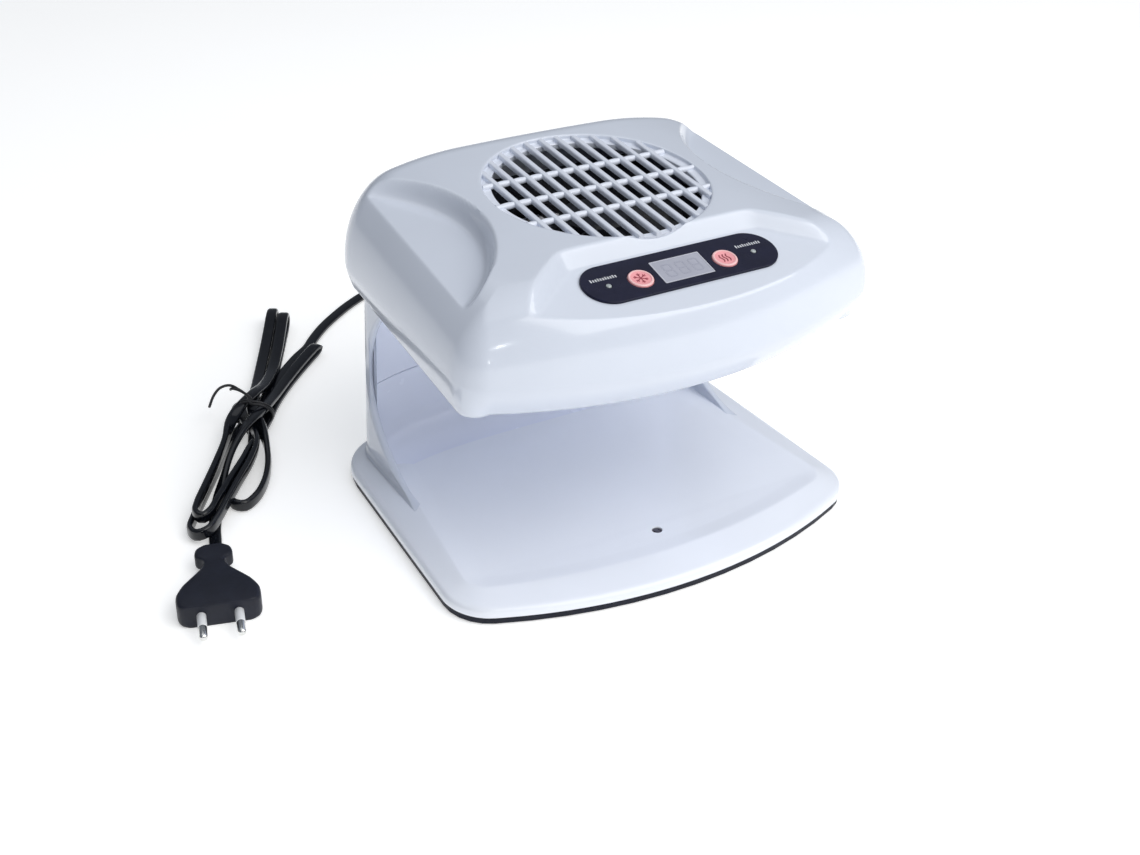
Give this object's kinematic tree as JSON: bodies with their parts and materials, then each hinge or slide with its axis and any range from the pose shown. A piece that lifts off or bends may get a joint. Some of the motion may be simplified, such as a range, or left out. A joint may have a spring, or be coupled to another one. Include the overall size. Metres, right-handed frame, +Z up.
{
  "type": "nail dryer",
  "caption": "Table-top nail dryer: C-shaped glossy shell with a fan and heater in the hood, a tray under it, round push buttons, a display and a tied mains cord.",
  "frame": {"origin": "on the table, under the middle of the body without its cord", "axes": "+X across the body to the user's right, -Y out of the open front, +Z up"},
  "size_m": [0.3794, 0.4036, 0.1923],
  "materials": {
    "gloss_shell": "glossy bluish white moulded shell",
    "bottom_plate": "fine matt black",
    "foot_rubber": "matt black rubber",
    "overlay": "semi-gloss navy black",
    "display": "smooth grey display window",
    "button": "satin pink",
    "lamp": "clear lens",
    "circuit_board": "green solder mask",
    "black_moulding": "satin black moulding",
    "steel": "zinc plated",
    "heater_wire": "bare resistance wire",
    "mica": "mica sheet",
    "copper": "enamelled winding",
    "relay": "blue case",
    "sensor_lens": "dark clear lens",
    "cord": "semi-gloss black",
    "pin_sleeve": "white insulation",
    "pin": "nickel plated"
  },
  "bodies": {
    "root": {"base_shell": "gloss_shell", "bottom_plate": "bottom_plate", "capacitor": "black_moulding", "control_board": "circuit_board", "control_overlay": "overlay", "cool_lamp": "lamp", "cool_switch": "black_moulding", "cord_gland": "cord", "cord_hank": "cord", "cord_lead": "cord", "cover_screw_1": "steel", "cover_screw_2": "steel", "cover_screw_3": "steel", "cover_screw_4": "steel", "display_module": "black_moulding", "display_window": "display", "fan_frame": "black_moulding", "fan_motor": "copper", "fan_screw_1": "steel", "fan_screw_2": "steel", "fan_screw_3": "steel", "fan_screw_4": "steel", "foot_1": "foot_rubber", "foot_2": "foot_rubber", "foot_3": "foot_rubber", "foot_4": "foot_rubber", "hand_sensor_board": "circuit_board", "hand_sensor_emitter": "sensor_lens", "hand_sensor_lens": "sensor_lens", "heater_coil": "heater_wire", "heater_cross": "mica", "heater_shroud": "steel", "hood_cover": "gloss_shell", "hood_underside": "gloss_shell", "hot_lamp": "lamp", "hot_switch": "black_moulding", "intake_grille": "gloss_shell", "outlet_grille": "gloss_shell", "pin_sleeve_left": "pin_sleeve", "pin_sleeve_right": "pin_sleeve", "plate_screw_1": "steel", "plate_screw_2": "steel", "plate_screw_3": "steel", "plate_screw_4": "steel", "plate_screw_5": "steel", "plate_screw_6": "steel", "plug_body": "cord", "plug_pin_left": "pin", "plug_pin_right": "pin", "power_board": "circuit_board", "power_cord": "cord", "rear_shell": "gloss_shell", "relay": "relay", "thermal_cutout": "steel", "transformer": "copper", "twist_tie": "cord"},
    "fan": {"fan_rotor": "black_moulding", "fan_shaft": "steel"},
    "cool_button": {"cool_button": "button"},
    "hot_button": {"hot_button": "button"}
  },
  "joints": [
    {"name": "fan_spin", "type": "hinge", "parent": "root", "child": "fan", "pos_m": [0, 0.0067, 0.162], "axis": [0, 0, 1], "continuous": true},
    {"name": "cool_press", "type": "slide", "parent": "root", "child": "cool_button", "axis": [0, 0.2139, -0.9769], "range_m": [0, 0.0008], "stiffness_N_per_m": 300, "springref_m": -0.003},
    {"name": "hot_press", "type": "slide", "parent": "root", "child": "hot_button", "axis": [0, 0.2139, -0.9769], "range_m": [0, 0.0008], "stiffness_N_per_m": 300, "springref_m": -0.003}
  ]
}
